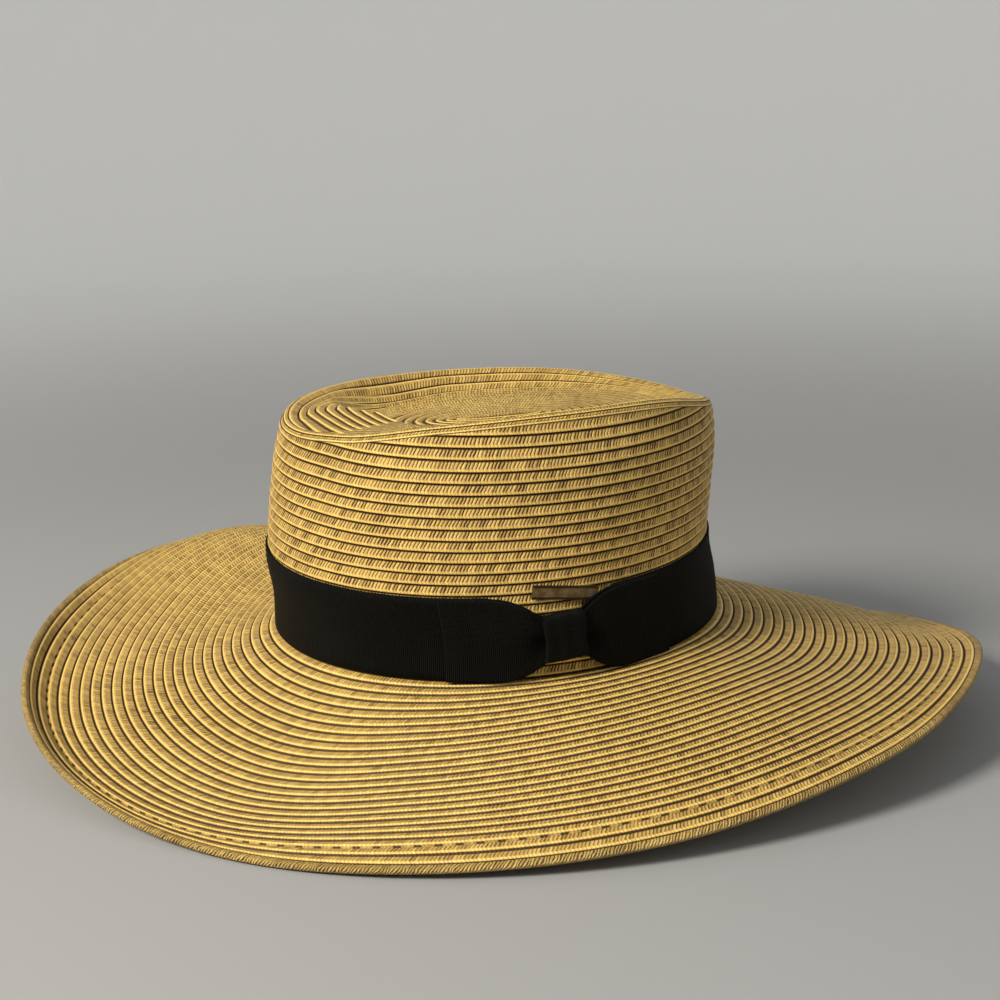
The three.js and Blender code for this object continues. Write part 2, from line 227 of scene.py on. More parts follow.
def brim_grid(angles, distances):
    """The brim's upper face at angles by distances out from the crown's wall"""
    step = 0.5
    middles = np.arange(step / 2, BRIM_SEEN + step, step)
    slope = brim_slope(angles[:, None], np.minimum(middles / BRIM_WIDTH, 1)[None, :])
    ends = np.concatenate([[0], middles + step / 2])
    out = np.concatenate([np.zeros((len(angles), 1)), np.cumsum(np.cos(slope) * step, 1)], 1)
    drop = np.concatenate([np.zeros((len(angles), 1)), np.cumsum(np.sin(slope) * step, 1)], 1)
    base, away = wall_point(angles, 0), outward(angles)
    points = np.zeros((len(angles), len(distances), 3))
    for i in range(len(angles)):
        reach = np.interp(distances, ends, out[i])
        points[i] = base[i] + away[i] * reach[:, None]
        points[i, :, 2] = -JOINT - np.interp(distances, ends, drop[i])
    return points


def place(points):
    """From the hat's frame in millimetres to where it rests, in metres"""
    p, r = math.radians(REST_PITCH), math.radians(REST_ROLL)
    turn_y = np.array([[math.cos(p), 0, math.sin(p)], [0, 1, 0], [-math.sin(p), 0, math.cos(p)]])
    turn_x = np.array([[1, 0, 0], [0, math.cos(r), -math.sin(r)], [0, math.sin(r), math.cos(r)]])
    return (points @ (turn_x @ turn_y).T + REST_SHIFT) / 1000


def normals_of(grid, closed):
    """Unit normals of a grid[i, j] of points, closed round in i where closed. They point up where
    the grid has no area, as at the ends of the tip's core."""
    if closed:
        along = np.roll(grid, -1, 0) - np.roll(grid, 1, 0)
    else:
        along = np.gradient(grid, axis=0)
    normal = np.cross(along, np.gradient(grid, axis=1)) + (0, 0, 1e-9)
    return normal / np.linalg.norm(normal, axis=-1, keepdims=True)


def weld(mesh):
    """Joins points that coincide, which drops the faces without area between them"""
    joined = bmesh.new()
    joined.from_mesh(mesh)
    bmesh.ops.remove_doubles(joined, verts=joined.verts, dist=1e-6)
    joined.to_mesh(mesh)
    joined.free()


def add_mesh(name, points, faces, uvs, material, node):
    """A smooth mesh of quads with a UV map, which stands for a node of the solids"""
    mesh = bpy.data.meshes.new(name)
    mesh.vertices.add(len(points))
    mesh.vertices.foreach_set("co", place(points).astype(np.float32).ravel())
    size = faces.shape[1]
    mesh.loops.add(faces.size)
    mesh.loops.foreach_set("vertex_index", faces.astype(np.int32).ravel())
    mesh.polygons.add(len(faces))
    mesh.polygons.foreach_set("loop_start", np.arange(0, faces.size, size, dtype=np.int32))
    mesh.update(calc_edges=True)
    layer = mesh.uv_layers.new(name="braid")
    layer.data.foreach_set("uv", uvs.astype(np.float32).reshape(-1))
    mesh.polygons.foreach_set("use_smooth", np.ones(len(faces), dtype=bool))
    mesh.materials.append(material)
    mesh.validate()
    weld(mesh)
    piece = bpy.data.objects.new(name, mesh)
    bpy.context.collection.objects.link(piece)
    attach(piece, "root")
    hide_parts(node)
    return piece


def grid_faces(m, n, closed):
    """Quads over a grid of m by n points, closed round in the first direction where closed"""
    i, j = np.meshgrid(np.arange(m if closed else m - 1), np.arange(n - 1), indexing="ij")
    k = (i + 1) % m
    return np.stack([i * n + j, k * n + j, k * n + j + 1, i * n + j + 1], -1).reshape(-1, 4)


def grid_uvs(u, v):
    """UVs of the grid's quads: u[i, j] at point i of line j of quads, v[j] at the line's two sides"""
    m, n = u.shape[0] - 1, u.shape[1]
    i, j = np.meshgrid(np.arange(m), np.arange(n), indexing="ij")
    low, high = v[:, 0][j], v[:, 1][j]
    a, b = u[i, j], u[i + 1, j]
    corners = [(a, low), (b, low), (b, high), (a, high)]
    return np.stack([np.stack(c, -1) for c in corners], -2).reshape(-1, 2)


def braid(name, grid, shares, first_row, material, node, rng, flip=False):
    """Rows of braid over a smooth closed grid. grid[i, j] holds len(shares) points a row and one
    last line; each row's strands are counted so that they meet where the row closes."""
    m, n = grid.shape[:2]
    per = len(shares)
    rows = (n - 1) // per
    lengths = np.linalg.norm(np.roll(grid, -1, 0) - grid, axis=-1)
    u = np.zeros((m + 1, n - 1))
    v = np.zeros((n - 1, 2))
    ends = list(shares[1:]) + [1.0]
    for r in range(rows):
        ring = lengths[:, r * per + per // 2]
        along = np.concatenate([[0], np.cumsum(ring)])
        strands = max(6, round(along[-1] / STRAND))
        shift = rng.integers(0, 997)
        for k in range(per):
            u[:, r * per + k] = along / along[-1] * strands + shift
            v[r * per + k] = first_row + r + shares[k], first_row + r + ends[k] - 1e-4
    faces = grid_faces(m, n, True)
    uvs = grid_uvs(u, v)
    if flip:
        faces = faces[:, ::-1]
        uvs = uvs.reshape(-1, 4, 2)[:, ::-1].reshape(-1, 2)
    return add_mesh(name, grid.reshape(-1, 3), faces, uvs, material, node)


def relief_of(rows, relief, angles, rng, wander):
    """Relief of each line of a braided grid: the row's own profile, with slow waves along it"""
    per = len(relief)
    lines = np.tile(relief, rows)
    height = np.repeat(lines[None, :], len(angles), 0)
    a = np.radians(angles)
    for r in range(rows):
        wave = sum(
            rng.normal(0, wander / math.sqrt(k)) * np.cos(k * a + rng.uniform(0, 6.28))
            for k in (3, 5, 8, 13, 21)
        )
        height[:, r * per:(r + 1) * per] += wave[:, None]
    return np.concatenate([height, height[:, -1:]], 1)


def row_lines(rows, shares):
    """Where each line of a braided grid lies, in rows"""
    return np.array([r + s for r in range(rows) for s in shares] + [rows])


# Materials

class Nodes:
    """Short calls that add shader nodes to one material"""

    def __init__(self, name):
        self.material = bpy.data.materials.new(name)
        self.material.use_nodes = True
        self.tree = self.material.node_tree
        self.shader = self.tree.nodes["Principled BSDF"]

    def add(self, kind, inputs=(), **settings):
        node = self.tree.nodes.new(kind)
        for key, value in settings.items():
            setattr(node, key, value)
        for key, value in dict(inputs).items():
            self.put(node.inputs[key], value)
        return node

    def put(self, socket, value):
        if isinstance(value, bpy.types.NodeSocket):
            self.tree.links.new(value, socket)
        else:
            socket.default_value = value

    def math(self, operation, *values):
        return self.add("ShaderNodeMath", dict(enumerate(values)), operation=operation).outputs[0]

    def ramp(self, value, low, high):
        """Smooth step of value from low to high"""
        inputs = {"Value": value, "From Min": low, "From Max": high}
        return self.add("ShaderNodeMapRange", inputs, interpolation_type="SMOOTHSTEP").outputs[0]

    def mix(self, factor, a, b, blend="MIX"):
        node = self.add("ShaderNodeMix", data_type="RGBA", blend_type=blend)
        self.put(node.inputs[0], factor)
        self.put(node.inputs[6], a)
        self.put(node.inputs[7], b)
        return node.outputs[2]

    def noise(self, scale, detail=2.0, vector=None):
        if vector is None:
            vector = self.add("ShaderNodeTexCoord").outputs["Object"]
        inputs = {"Vector": vector, "Scale": scale, "Detail": detail}
        return self.add("ShaderNodeTexNoise", inputs).outputs[0]

    def uv(self):
        split = self.add("ShaderNodeSeparateXYZ", {0: self.add("ShaderNodeUVMap").outputs[0]})
        return split.outputs[0], split.outputs[1]

    def random(self, *values):
        """A random number from up to three others"""
        names = dict(zip("XYZ", values))
        vector = self.add("ShaderNodeCombineXYZ", names).outputs[0]
        node = self.add("ShaderNodeTexWhiteNoise", {"Vector": vector}, noise_dimensions="3D")
        return node.outputs["Value"]

    def bump(self, height, distance, strength=1.0):
        inputs = {"Height": height, "Distance": distance, "Strength": strength}
        self.put(self.shader.inputs["Normal"], self.add("ShaderNodeBump", inputs).outputs[0])


# Straw colours: body, bright strand, which also paints the highlight on each row's lip, brown strand, and
# near black for the painted shade in gaps, grooves and under the lips
GOLD, BRIGHT = (0.48, 0.305, 0.082), (0.98, 0.69, 0.19)
BROWN, GAP_SHADE = (0.15, 0.075, 0.011), (0.03, 0.011, 0.0015)


def straw_colours(tint):
    return [tuple(tint * x for x in rgb) + (1.0,) for rgb in (GOLD, BRIGHT, BROWN, GAP_SHADE)]


def straw_material(name, openness=0.5, tint=1.0, stitched_row=None):
    """Braid: long strands slant across most of a row, and fold back short over its outer lip.
    openness is how much of the straw has gaps between its strands."""
    n = Nodes(name)
    u, v = n.uv()
    across = n.math("FRACT", v)
    row = n.math("FLOOR", v)
    fold, slant, back = 0.64, 1.35, 1.3
    waver = n.math("MULTIPLY_ADD", n.noise(260.0, 2.0), 0.7, -0.35)
    upper = n.math("MINIMUM", across, fold)
    lower = n.math("MAXIMUM", n.math("SUBTRACT", across, fold), 0.0)
    phase = n.math("ADD", n.math("ADD", u, waver), n.math("MULTIPLY", upper, slant))
    phase = n.math("SUBTRACT", phase, n.math("MULTIPLY", lower, back))
    strand = n.math("FLOOR", phase)
    side = n.math("ABSOLUTE", n.math("SUBTRACT", n.math("MULTIPLY", n.math("FRACT", phase), 2.0), 1.0))
    chance = n.random(strand, row)
    other = n.random(row, strand, 3.0)
    slow = n.noise(16.0, 3.0)
    fine = n.noise(1300.0, 3.0)
    # Gaps show where a strand is thin and the straw is loose there; they are painted near black, as painted
    # shade between the strands
    loose = n.ramp(slow, 0.7 - 0.35 * openness, 0.8 - 0.35 * openness)
    width = n.math("MULTIPLY_ADD", chance, 0.4, 0.36)
    open_gap = n.ramp(side, width, n.math("ADD", width, 0.22))
    on_lip = n.ramp(across, 0.58, 0.7)
    on_arm = n.math("MULTIPLY", n.ramp(across, 0.06, 0.18), n.math("SUBTRACT", 1.0, on_lip))
    few = n.ramp(other, 0.75 - 0.6 * openness, 1.0 - 0.5 * openness)
    gap_here = n.math("MULTIPLY", few, n.math("MULTIPLY_ADD", loose, 0.6, 0.4))
    deep = n.math("MULTIPLY", n.math("MULTIPLY", open_gap, on_arm), gap_here)
    seam = n.math("MULTIPLY", n.ramp(side, 0.7, 1.0), n.math("MULTIPLY_ADD", on_lip, -0.12, 0.55))
    # The plate's rows are packed closer, so that their grooves take more of each row, softer
    packed = n.math("LESS_THAN", row, float(PLATE_ROWS))
    groove_end = n.math("MULTIPLY_ADD", packed, 0.2, 0.2)
    # The groove at the start of each row is painted dark: painted shade under the lip of the row before
    groove = n.math("SUBTRACT", 1.0, n.ramp(across, n.math("SUBTRACT", groove_end, 0.12), groove_end))
    apart = n.math("MULTIPLY_ADD", packed, -0.75, 1.0)
    seam, deep = n.math("MULTIPLY", seam, apart), n.math("MULTIPLY", deep, apart)
    # Painted shade just past each row's lip, where it overhangs the next row
    under_lip_shade = n.ramp(across, 0.9, 0.96)
    if stitched_row is not None:
        # Stitches close the groove before one row, so that its painted shade shows only in short dashes
        step = n.math("FRACT", n.math("MULTIPLY", u, STRAND / STITCH))
        shut = n.ramp(n.math("ABSOLUTE", n.math("SUBTRACT", step, 0.5)), 0.16, 0.26)
        after = n.math("MULTIPLY", n.math("COMPARE", row, float(stitched_row), 0.5), shut)
        before = n.math("MULTIPLY", n.math("COMPARE", row, stitched_row - 1.0, 0.5), shut)
        groove = n.math("MULTIPLY", groove, n.math("MULTIPLY_ADD", after, -0.75, 1.0))
        under_lip_shade = n.math("MULTIPLY", under_lip_shade, n.math("MULTIPLY_ADD", before, -0.75, 1.0))
    # A painted highlight along each row's raised lip
    lip = n.math("MULTIPLY", n.ramp(across, 0.68, 0.82), n.math("SUBTRACT", 1.0, n.ramp(across, 0.86, 0.93)))
    gold, bright, brown, gap_shade = straw_colours(tint)
    body = n.mix(n.ramp(chance, 0.1, 1.0), gold, n.mix(0.35, gold, bright))
    body = n.mix(n.math("MULTIPLY", n.ramp(other, 0.8, 0.98), 0.22), body, brown)
    body = n.mix(n.math("MULTIPLY", n.ramp(fine, 0.35, 0.75), 0.3), body, brown)
    body = n.mix(n.math("MULTIPLY", n.ramp(slow, 0.4, 0.75), 0.22), body, brown)
    # The lip's painted highlight, mixed towards the bright strand colour
    body = n.mix(n.math("MULTIPLY", lip, 0.62), body, bright)
    colour = n.mix(seam, body, brown)
    # Painted shade: near black in the gaps between strands, in each row's groove and just past each lip
    colour = n.mix(n.math("MULTIPLY", deep, 0.92), colour, gap_shade)
    colour = n.mix(n.math("MULTIPLY", groove, n.math("MULTIPLY_ADD", packed, -0.3, 1.0)), colour, gap_shade)
    colour = n.mix(n.math("MULTIPLY", under_lip_shade, 0.95), colour, gap_shade)
    strand_round = n.math("MULTIPLY_ADD", on_lip, 0.45, -0.7)
    height = n.math("MULTIPLY", n.math("MULTIPLY", side, side), strand_round)
    height = n.math("ADD", height, n.math("MULTIPLY", n.ramp(across, 0.6, 0.74), 0.5))
    height = n.math("SUBTRACT", height, n.math("MULTIPLY", n.math("ADD", groove, deep), 0.9))
    height = n.math("MULTIPLY_ADD", fine, 0.35, height)
    n.put(n.shader.inputs["Base Color"], colour)
    hollow = n.math("MAXIMUM", deep, groove)
    strand_rough = n.math("MULTIPLY_ADD", chance, 0.15, 0.42)
    n.put(n.shader.inputs["Roughness"], n.math("MULTIPLY_ADD", hollow, 0.4, strand_rough))
    n.shader.inputs["Specular IOR Level"].default_value = 0.25
    n.bump(height, 0.0006)
    return n.material


def edge_material(name):
    """The rim's braid: the strands are in the mesh, with fibres along them"""
    n = Nodes(name)
    u, v = n.uv()
    u = n.math("ADD", u, n.math("MULTIPLY_ADD", n.noise(300.0, 2.0), 1.6, -0.8))
    strand = n.math("FLOOR", u)
    chance = n.random(strand)
    side = n.math("ABSOLUTE", n.math("SUBTRACT", n.math("MULTIPLY", n.math("FRACT", u), 2.0), 1.0))
    opened = n.math("MULTIPLY", n.ramp(side, 0.5, 0.95), n.ramp(n.random(strand, 5.0), 0.0, 0.9))
    slow = n.noise(30.0, 3.0)
    fine = n.noise(1300.0, 3.0)
    # The rim takes the braid's colours at 0.85: painted shade, as the rim faces down
    gold, bright, brown, gap_shade = straw_colours(0.85)
    body = n.mix(n.math("MULTIPLY", chance, 0.5), gold, bright)
    body = n.mix(n.math("MULTIPLY", n.ramp(slow, 0.35, 0.7), 0.4), body, brown)
    body = n.mix(n.math("MULTIPLY", n.ramp(fine, 0.35, 0.75), 0.35), body, brown)
    # Painted shade in the gaps between the rim's strands
    colour = n.mix(n.math("MULTIPLY", opened, 0.9), body, gap_shade)
    n.put(n.shader.inputs["Base Color"], colour)
    n.shader.inputs["Roughness"].default_value = 0.5
    n.shader.inputs["Specular IOR Level"].default_value = 0.4
    strand_round = n.math("MULTIPLY_ADD", n.math("MULTIPLY", side, side), -1.0, 1.0)
    n.bump(n.math("MULTIPLY_ADD", fine, 0.3, strand_round), 0.0006)
    return n.material


def ribbon_material(name):
    """Grosgrain: fine ribs across the ribbon, and a bound edge. u and v are in millimetres."""
    n = Nodes(name)
    u, v = n.uv()
    wave = n.math("SINE", n.math("MULTIPLY", u, 2 * math.pi / RIB))
    slow = n.noise(45.0, 2.0)
    fine = n.noise(2600.0, 2.0)
    rib = n.ramp(wave, -1.0, 0.6)
    colour = n.mix(rib, (0.001, 0.0012, 0.001, 1), (0.004, 0.0045, 0.0037, 1))
    colour = n.mix(n.math("MULTIPLY", n.ramp(slow, 0.4, 0.75), 0.4), colour, (0.006, 0.0065, 0.0055, 1))
    n.put(n.shader.inputs["Base Color"], colour)
    n.put(n.shader.inputs["Roughness"], n.math("MULTIPLY_ADD", fine, 0.2, 0.55))
    n.shader.inputs["Specular IOR Level"].default_value = 0.06
    n.shader.inputs["Sheen Weight"].default_value = 0.006
    n.shader.inputs["Sheen Roughness"].default_value = 0.5
    n.bump(n.math("MULTIPLY_ADD", fine, 0.3, wave), 0.00016)
    return n.material


def metal_material(name, middle, up, half):
    """Aged brass, darker on the raised bars along a plate's long edges and where it is worn less.
    middle and up are the plate's centre and its direction across, half is half its height."""
    n = Nodes(name)
    place_here = n.add("ShaderNodeTexCoord").outputs["Object"]
    offset = n.add("ShaderNodeVectorMath", {0: place_here, 1: tuple(middle)}, operation="SUBTRACT")
    height = n.add("ShaderNodeVectorMath", {0: offset.outputs[0], 1: tuple(up)}, operation="DOT_PRODUCT")
    edge = n.math("DIVIDE", n.math("ABSOLUTE", height.outputs["Value"]), half)
    bar = n.ramp(edge, 0.62, 0.74)
    slow = n.noise(260.0, 3.0)
    fine = n.noise(1800.0, 2.0)
    colour = n.mix(n.ramp(slow, 0.3, 0.7), (0.13, 0.092, 0.042, 1), (0.25, 0.19, 0.095, 1))
    colour = n.mix(n.math("MULTIPLY", n.ramp(fine, 0.45, 0.75), 0.5), colour, (0.05, 0.032, 0.014, 1))
    colour = n.mix(n.math("MULTIPLY", bar, 0.88), colour, (0.025, 0.014, 0.007, 1))
    n.put(n.shader.inputs["Base Color"], colour)
    n.shader.inputs["Metallic"].default_value = 0.85
    n.put(n.shader.inputs["Roughness"], n.math("MULTIPLY_ADD", slow, 0.3, 0.32))
    n.bump(fine, 0.00004)
    return n.material


STRAW = straw_material("straw_braid", openness=1.0)
STRAW_TIP = straw_material("straw_braid_tip", openness=0.45)
STRAW_BRIM = straw_material("straw_braid_brim", openness=0.35, stitched_row=STITCHED_ROW)
# The brim's underside and the crown's inside take the braid a little darker: painted shade, as they face
# down and in
STRAW_UNDER = straw_material("straw_braid_under", openness=0.3, tint=0.92)
EDGE = edge_material("straw_edge")
RIBBON = ribbon_material("ribbon_grosgrain")

rng = np.random.default_rng(7)

# Crown wall: level rows, which the fold of the ridge cuts off
ANGLES = np.linspace(0, 360, 480, endpoint=False)
WALL_ROWS = math.ceil(CROWN_HEIGHT / ROW)
lines = row_lines(WALL_ROWS, ROW_SHARES)
ridge_height = CROWN_HEIGHT * form_at(ANGLES)[0]
heights = (WALL_ROWS - lines)[None, :] * ROW
heights = np.minimum(heights, ridge_height[:, None] - RIDGE_FOLD)
heights[:, -1] = -WALL_TUCK
wall = wall_point(ANGLES[:, None], heights / ridge_height[:, None])
wall_out = np.repeat(outward(ANGLES)[:, None, :], wall.shape[1], 1)
relief = relief_of(WALL_ROWS, WALL_RELIEF, ANGLES, rng, 0.05)
below = ridge_height[:, None] - RIDGE_FOLD - (WALL_ROWS - lines)[None, :] * ROW
relief = 0.2 + (relief - 0.2) * smooth(below, 0, 1.5)
wall = wall + wall_out * relief[..., None]
braid("crown_wall", wall, ROW_SHARES, WALL_FIRST, STRAW, "crown", rng, flip=True)

# Crown tip, from the straight core out to the ridge
lines = row_lines(TIP_ROWS, ROW_SHARES)
shares = lines / TIP_ROWS
tip = tip_rows(ANGLES[:, None], shares[None, :])
tip_up = normals_of(tip, True)
tip_up *= np.sign(tip_up[..., 2])[..., None]
row_width = np.linalg.norm(np.gradient(tip, axis=1), axis=-1) / np.gradient(lines)
relief = relief_of(TIP_ROWS, BRIM_RELIEF, ANGLES, rng, 0.04) * smooth(row_width, 0, 0.8 * ROW)
tip = tip + tip_up * relief[..., None]
braid("crown_tip", tip, ROW_SHARES, 0, STRAW_TIP, "crown", rng)

# The fold between them
turns = np.linspace(0, math.pi / 2, 13)
corner = wall_point(ANGLES, np.ones_like(ANGLES))
away = outward(ANGLES)
fold = np.stack([
    corner + away * RIDGE_FOLD * (math.cos(t) - 1) + np.array([0, 0, 1]) * RIDGE_FOLD * (math.sin(t) - 1)
    for t in turns
], 1)
fold[:, 0] = wall[:, 0]
fold[:, -1] = tip[:, -1]
FOLD_SHARES = (0.02, 0.2, 0.4, 0.6, 0.8, 0.9)
braid("crown_fold", fold[:, ::-1], FOLD_SHARES, FOLD_FIRST, STRAW_TIP, "crown", rng)

# Crown, inside: its wall up to the fold, then its tip
INSIDE_TOP, INSIDE_LINES, INSIDE_STRANDS = 0.97, 24, 390
some = ANGLES[::2, None]
inner_levels = np.linspace(0.0, 1.0, INSIDE_LINES) * INSIDE_TOP
inner_shares = np.linspace(INSIDE_TOP, 0, INSIDE_LINES)
inside = np.concatenate([
    wall_point(some, inner_levels[None, :]) - outward(ANGLES[::2])[:, None, :] * WALL,
    tip_point(some, inner_shares[None, :]) - np.array([0, 0, WALL]),
], 1)
inner_rows = WALL_ROWS + TIP_ROWS
cuts = np.linspace(0, inner_rows, inside.shape[1])
u = np.repeat(np.linspace(0, INSIDE_STRANDS, len(inside) + 1)[:, None], inside.shape[1] - 1, 1)
v = np.stack([cuts[:-1], cuts[1:]], 1)
add_mesh("crown_inside", inside.reshape(-1, 3), grid_faces(*inside.shape[:2], True),
         grid_uvs(u, v), STRAW_UNDER, "crown")

# Brim, upper face
BRIM_ANGLES = np.linspace(0, 360, 540, endpoint=False)
lines = row_lines(BRIM_ROWS, ROW_SHARES)
pitch = BRIM_SEEN / BRIM_ROWS
top = brim_grid(BRIM_ANGLES, lines * pitch)
top[:, 0] -= outward(BRIM_ANGLES) * BRIM_TUCK
top_up = normals_of(top, True)
top_up *= np.sign(top_up[..., 2])[..., None]
relief = relief_of(BRIM_ROWS, BRIM_RELIEF, BRIM_ANGLES, rng, 0.07)
braid("brim_top", top + top_up * relief[..., None], ROW_SHARES, BRIM_FIRST, STRAW_BRIM,
      "brim", rng)

# Brim, underside
under = brim_grid(ANGLES, lines * pitch)
under_up = normals_of(under, True)
under_up *= np.sign(under_up[..., 2])[..., None]
relief = relief_of(BRIM_ROWS, UNDER_RELIEF, ANGLES, rng, 0.05)
under = under - under_up * (WALL - UNDER_LIFT + relief[..., None])
braid("brim_under", under, ROW_SHARES, UNDER_FIRST, STRAW_UNDER, "brim", rng, flip=True)


def edge_ring(name):
    """The doubled braid round the brim: slanting strands over a rounded section"""
    steps, around = 3200, 14
    angles = np.linspace(0, 360, steps, endpoint=False)
    slope = brim_slope(angles, np.ones_like(angles))
    away = outward(angles)
    up = np.array([0, 0, 1.0])
    out = away * np.cos(slope)[:, None] - up * np.sin(slope)[:, None]
    normal = away * np.sin(slope)[:, None] + up * np.cos(slope)[:, None]
    rim = np.stack([
        np.interp(angles, BRIM_ANGLES, top[:, -1, k], period=360) for k in range(3)
    ], 1)
    middle = rim - normal * WALL / 2 + out * EDGE_HALF_WIDTH
    length = np.linalg.norm(np.roll(middle, -1, 0) - middle, axis=1)
    along = np.concatenate([[0], np.cumsum(length)])
    strands = round(along[-1] / EDGE_STRAND)
    u = along / along[-1] * strands
    points = np.zeros((steps, around, 3))
    for j in range(around):
        t = 2 * math.pi * j / around
        x, y = math.cos(t), math.sin(t)
        lobe = (abs(x) ** 3 + abs(y) ** 3) ** (-1 / 3)
        twist = u[:-1] + EDGE_TWIST * j / around
        swell = 0.25 * (1 - (2 * (twist % 1) - 1) ** 2)
        reach = lobe - 0.12 + swell * 0.3
        points[:, j] = (
            middle
            + out * (x * (EDGE_HALF_WIDTH + (0.3 if x < 0 else 0)) * reach)[:, None]
            + normal * (y * EDGE_HALF_HEIGHT * reach)[:, None]
        )
    ring = np.arange(around)
    i, j = np.meshgrid(np.arange(steps), ring, indexing="ij")
    i2, j2 = (i + 1) % steps, (j + 1) % around
    faces = np.stack([i * around + j, i2 * around + j, i2 * around + j2, i * around + j2], -1)
    turn = EDGE_TWIST / around
    ua, ub = u[i] + j * turn, u[i + 1] + j * turn
    uc, ud = u[i + 1] + (j + 1) * turn, u[i] + (j + 1) * turn
    low, high = j / around, (j + 1) / around
    uvs = np.stack([np.stack(c, -1) for c in ((ua, low), (ub, low), (uc, high), (ud, high))], -2)
    return add_mesh(name, points.reshape(-1, 3), faces.reshape(-1, 4)[:, ::-1],
                    uvs.reshape(-1, 4, 2)[:, ::-1].reshape(-1, 2), EDGE, "brim_edge")


edge_ring("brim_edge_braid")


# Ribbon

def gather(distance):
    return smooth(np.abs(distance), KNOT_LENGTH / 3, KNOT_LENGTH / 2 + LOOP_LENGTH / 2)


def ribbon_level(distance, across):
    g = gather(distance)
    half = ((KNOT_HEIGHT - 2) * (1 - g) + RIBBON_WIDTH * g) / 2
    return KNOT_LEVEL * (1 - g) + (JOINT + RIBBON_WIDTH / 2) * g + across * half


def closed_strip(name, outer, inner, u, across, node):
    """A ribbon of some thickness from the grids of its two faces, closed round in i"""
    m, n = outer.shape[:2]
    grid = np.concatenate([outer, inner[:, ::-1], outer[:, :1]], 1)
    v = np.concatenate([across, across[::-1], across[:1]]) * RIBBON_WIDTH / 2
    pairs = np.stack([v[:-1], v[1:]], 1)
    return add_mesh(name, grid.reshape(-1, 3), grid_faces(m, grid.shape[1], True),
                    grid_uvs(np.repeat(u[:, None], grid.shape[1] - 1, 1), pairs), RIBBON, node)


across = np.linspace(-1, 1, 13)
distance = np.radians(ANGLES - BOW_ANGLE) * HALF_LENGTH
level = ribbon_level(distance[:, None], across[None, :])
band_out = wall_over(ANGLES[:, None], level, RIBBON_FIT + RIBBON_THICK)
band_in = wall_over(ANGLES[:, None], level, RIBBON_FIT)
ring = np.linalg.norm(np.roll(band_out, -1, 0) - band_out, axis=-1)[:, 6]
turns_of_rib = round(ring.sum() / RIB)
u = np.concatenate([[0], np.cumsum(ring)]) / ring.sum() * turns_of_rib * RIB
closed_strip("ribbon_band_cloth", band_out, band_in, u, across, "ribbon_band")


def angle_at(distance):
    """The angle round the crown at distances along the wall from the middle of the bow"""
    angle = np.full_like(distance, BOW_ANGLE, dtype=float)
    for _ in range(20):
        a = np.radians(angle)
        speed = np.hypot(HALF_LENGTH * np.sin(a), HALF_WIDTH * np.cos(a))
        angle = angle + np.degrees(distance / 20 / speed)
    return angle


def shoulder(distance):
    """How far a loop has opened to the ribbon's width: 0 at the knot, with a round shoulder"""
    t = np.clip((np.abs(distance) - KNOT_LENGTH / 2 + 1.5) / SHOULDER, 0, 1)
    return 1 - (1 - t) ** 2.2


def bow_loop(name, side, length, node):
    lean_slope = math.tan(math.radians(KNOT_LEAN))
    start = KNOT_LENGTH / 2 / math.cos(math.radians(KNOT_LEAN)) + JOINT
    back = RIBBON_FIT + RIBBON_THICK + JOINT + RIBBON_THICK
    near_depth, far_depth = LOOP_DEPTH - RIBBON_THICK, 1.7
    fold = far_depth / 2
    end = start + length - JOINT - fold
    straight, turns = 40, 14
    line = np.linspace(start - LOOP_TUCK, end, straight, endpoint=False)
    depth = near_depth + (far_depth - near_depth) * smooth(line, start + 5, end - 6)
    a = np.pi * (np.linspace(0, 1, turns + 1) - 0.5)
    along = np.concatenate([line, end + fold * np.cos(a), line[::-1]])
    is_front = np.concatenate([np.zeros(straight), (np.sin(a) + 1) / 2, np.ones(straight)])[:, None]
    out = np.concatenate([
        np.full(straight, back), back + fold + fold * np.sin(a), back + depth[::-1]])
    across = np.linspace(-1, 1, 33)
    open_share = shoulder(along)[:, None]
    loose = 1 - open_share
    half = (GATHER_HEIGHT + (RIBBON_WIDTH - GATHER_HEIGHT) * open_share) / 2
    middle_level = KNOT_LEVEL + (JOINT + RIBBON_WIDTH / 2 + 0.4 - KNOT_LEVEL) * open_share
    level = middle_level + across[None, :] * half
    valley = np.exp(-((across + 0.3) / 0.34) ** 2) * 2.3 + 0.3 * np.cos(across * math.pi * 3)
    pleat = np.clip(loose * 1.5, 0, 1) ** 1.3 * is_front * valley[None, :]
    bulge = 0.9 * np.sin(np.pi * open_share ** 1.5) * is_front * (1 - across[None, :] ** 2)
    lean = (level - KNOT_LEVEL) * lean_slope
    centre = wall_over(BOW_ANGLE, KNOT_LEVEL, 0)[..., 0]
    wall_lean = centre - wall_over(np.full(level.shape, BOW_ANGLE), level, 0)[..., 0]
    run = side * along[:, None] + loose * (wall_lean - lean)
    outer = wall_over(angle_at(run), level, out[:, None] - pleat + bulge)
    normal = normals_of(outer, False)
    middle = outer.mean((0, 1))
    if ((outer - middle) * normal).sum() < 0:
        normal = -normal
    inner = outer - normal * RIBBON_THICK * 0.6
    grid = np.concatenate([outer, inner[:, ::-1], outer[:, :1]], 1)
    step = np.linalg.norm(np.diff(outer[:, len(across) // 2], axis=0), axis=1)
    u = np.concatenate([[0], np.cumsum(step)])
    v = np.concatenate([across, across[::-1], across[:1]]) * RIBBON_WIDTH / 2
    faces = grid_faces(len(outer), grid.shape[1], False)
    uvs = grid_uvs(np.repeat(u[:, None], grid.shape[1] - 1, 1), np.stack([v[:-1], v[1:]], 1))
    return add_mesh(name, grid.reshape(-1, 3), faces, uvs, RIBBON, node)


